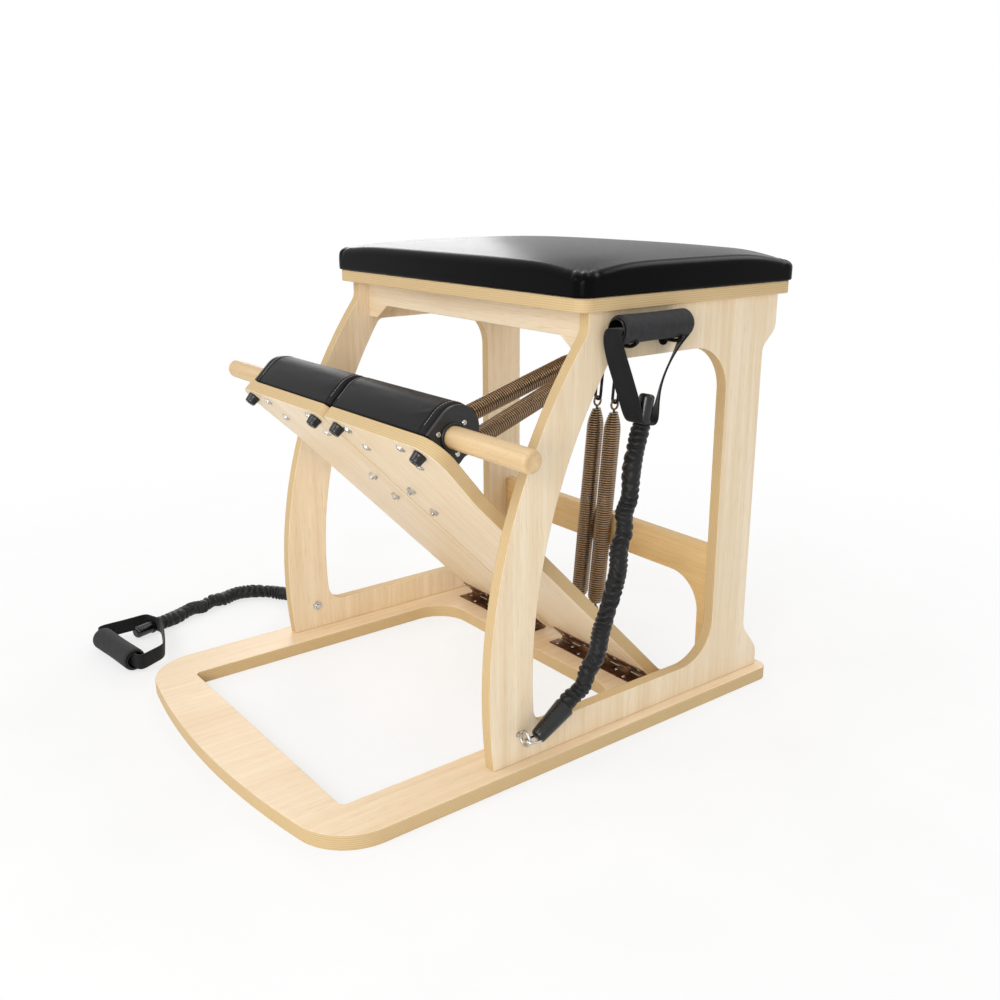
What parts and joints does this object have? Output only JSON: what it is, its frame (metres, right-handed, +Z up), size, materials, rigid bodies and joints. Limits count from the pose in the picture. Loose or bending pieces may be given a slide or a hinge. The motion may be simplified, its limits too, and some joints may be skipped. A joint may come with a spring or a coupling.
{
  "type": "pilates chair",
  "caption": "Wooden pilates chair with a padded seat, split spring-loaded foot pedals joined by a sliding rod, and handled resistance bands on the side panels.",
  "frame": {"origin": "centre of the base on the floor", "axes": "+X to the right seen from the front, front towards -Y, +Z up"},
  "size_m": [0.8934, 0.798, 0.645],
  "materials": {
    "birch_ply": "clear satin lacquer on pale birch plywood",
    "beech_rod": "smooth lacquered pale hardwood",
    "seat_vinyl": "glossy black vinyl",
    "pad_vinyl": "matt charcoal leather grain",
    "spring_steel": "bronze-toned spring wire",
    "hinge_steel": "dark bronze plated",
    "zinc_steel": "bright zinc plated",
    "black_steel": "black coated",
    "black_plate": "matt black",
    "black_rubber": "matt black rubber",
    "cap_plastic": "glossy black",
    "band_fabric": "ruched black nylon sleeve",
    "strap_webbing": "black woven webbing",
    "grip_foam": "matt black foam"
  },
  "bodies": {
    "frame": {"band_end_cap_left": "cap_plastic", "band_end_cap_right": "cap_plastic", "band_eye_bolt_left": "zinc_steel", "band_eye_bolt_right": "zinc_steel", "band_ferrule_left": "cap_plastic", "band_ferrule_right": "cap_plastic", "band_hook_left": "zinc_steel", "band_hook_right": "zinc_steel", "band_sleeve_left": "band_fabric", "band_sleeve_right": "band_fabric", "base_board": "birch_ply", "front_apron": "birch_ply", "grip_core_left": "cap_plastic", "grip_core_right": "cap_plastic", "handle_grip_left": "grip_foam", "handle_grip_right": "grip_foam", "handle_hooks_left": "zinc_steel", "handle_hooks_right": "zinc_steel", "handle_strap_left": "strap_webbing", "handle_strap_right": "strap_webbing", "hinge_base_leaf_left": "hinge_steel", "hinge_base_leaf_right": "hinge_steel", "hinge_pin_left": "hinge_steel", "hinge_pin_right": "hinge_steel", "rear_board": "birch_ply", "rear_top_rail": "birch_ply", "seat_board": "birch_ply", "seat_cushion": "seat_vinyl", "side_panel_left": "birch_ply", "side_panel_right": "birch_ply", "spring_anchor_eyes": "zinc_steel"},
    "pedal_right": {"flange_screws_right": "black_steel", "hinge_pedal_leaf_right": "hinge_steel", "pad_bolts_right": "zinc_steel", "pad_flange_right": "black_plate", "pedal_board_right": "birch_ply", "pedal_pad_right": "pad_vinyl", "rubber_bumpers_right": "black_rubber", "spring_eye_bolts_right": "zinc_steel"},
    "pedal_left": {"flange_screws_left": "black_steel", "hinge_pedal_leaf_left": "hinge_steel", "pad_bolts_left": "zinc_steel", "pad_flange_left": "black_plate", "pedal_board_left": "birch_ply", "pedal_pad_left": "pad_vinyl", "rubber_bumpers_left": "black_rubber", "spring_eye_bolts_left": "zinc_steel"},
    "lock_rod": {"lock_rod": "beech_rod"},
    "pedal_spring_right": {"pedal_spring_right": "spring_steel", "spring_top_hook_right": "spring_steel"},
    "pedal_spring_left": {"pedal_spring_left": "spring_steel", "spring_top_hook_left": "spring_steel"},
    "spring_hook_right": {"spring_pedal_hook_right": "spring_steel"},
    "spring_hook_left": {"spring_pedal_hook_left": "spring_steel"},
    "hanging_spring_right": {"hanger_loop_right": "black_steel", "hanging_spring_hooks_right": "spring_steel", "hanging_spring_right": "spring_steel"},
    "hanging_spring_left": {"hanger_loop_left": "black_steel", "hanging_spring_hooks_left": "spring_steel", "hanging_spring_left": "spring_steel"}
  },
  "joints": [
    {"name": "pedal_right_press", "type": "hinge", "parent": "frame", "child": "pedal_right", "pos_m": [0, 0.2115, 0.0242], "axis": [1, 0, 0], "range_deg": [0, 44.4], "stiffness_Nm_per_rad": 32, "springref_deg": -20.05},
    {"name": "pedal_left_press", "type": "hinge", "parent": "frame", "child": "pedal_left", "pos_m": [0, 0.2115, 0.0242], "axis": [1, 0, 0], "range_deg": [0, 44.4], "stiffness_Nm_per_rad": 32, "springref_deg": -20.05},
    {"name": "lock_rod_slide", "type": "slide", "parent": "pedal_right", "child": "lock_rod", "axis": [1, 0, 0], "range_m": [-0.145, 0.145]},
    {"name": "spring_right_swing", "type": "hinge", "parent": "frame", "child": "pedal_spring_right", "pos_m": [0.02, 0.3245, 0.484], "axis": [1, 0, 0], "range_deg": [0, 19.4]},
    {"name": "spring_right_stretch", "type": "slide", "parent": "pedal_spring_right", "child": "spring_hook_right", "axis": [0, -0.9522, -0.3056], "range_m": [0, 0.27587], "deforming": ["pedal_spring_right"]},
    {"name": "hanging_spring_right_swing", "type": "hinge", "parent": "frame", "child": "hanging_spring_right", "pos_m": [0.02, 0.3245, 0.484], "axis": [1, 0, 0], "range_deg": [-5, 0]},
    {"name": "spring_left_swing", "type": "hinge", "parent": "frame", "child": "pedal_spring_left", "pos_m": [-0.02, 0.3245, 0.484], "axis": [1, 0, 0], "range_deg": [0, 19.4]},
    {"name": "spring_left_stretch", "type": "slide", "parent": "pedal_spring_left", "child": "spring_hook_left", "axis": [0, -0.9522, -0.3056], "range_m": [0, 0.27587], "deforming": ["pedal_spring_left"]},
    {"name": "hanging_spring_left_swing", "type": "hinge", "parent": "frame", "child": "hanging_spring_left", "pos_m": [-0.02, 0.3245, 0.484], "axis": [1, 0, 0], "range_deg": [-5, 0]}
  ],
  "couplings": [
    {"joint": "pedal_left_press", "follows": "pedal_right_press", "ratio": 1},
    {"joint": "spring_right_swing", "follows": "pedal_right_press", "ratio": 0.43653},
    {"joint": "spring_right_stretch", "follows": "pedal_right_press", "m_per_rad": 0.35535},
    {"joint": "spring_left_swing", "follows": "pedal_right_press", "ratio": 0.43653},
    {"joint": "spring_left_stretch", "follows": "pedal_right_press", "m_per_rad": 0.35535}
  ]
}
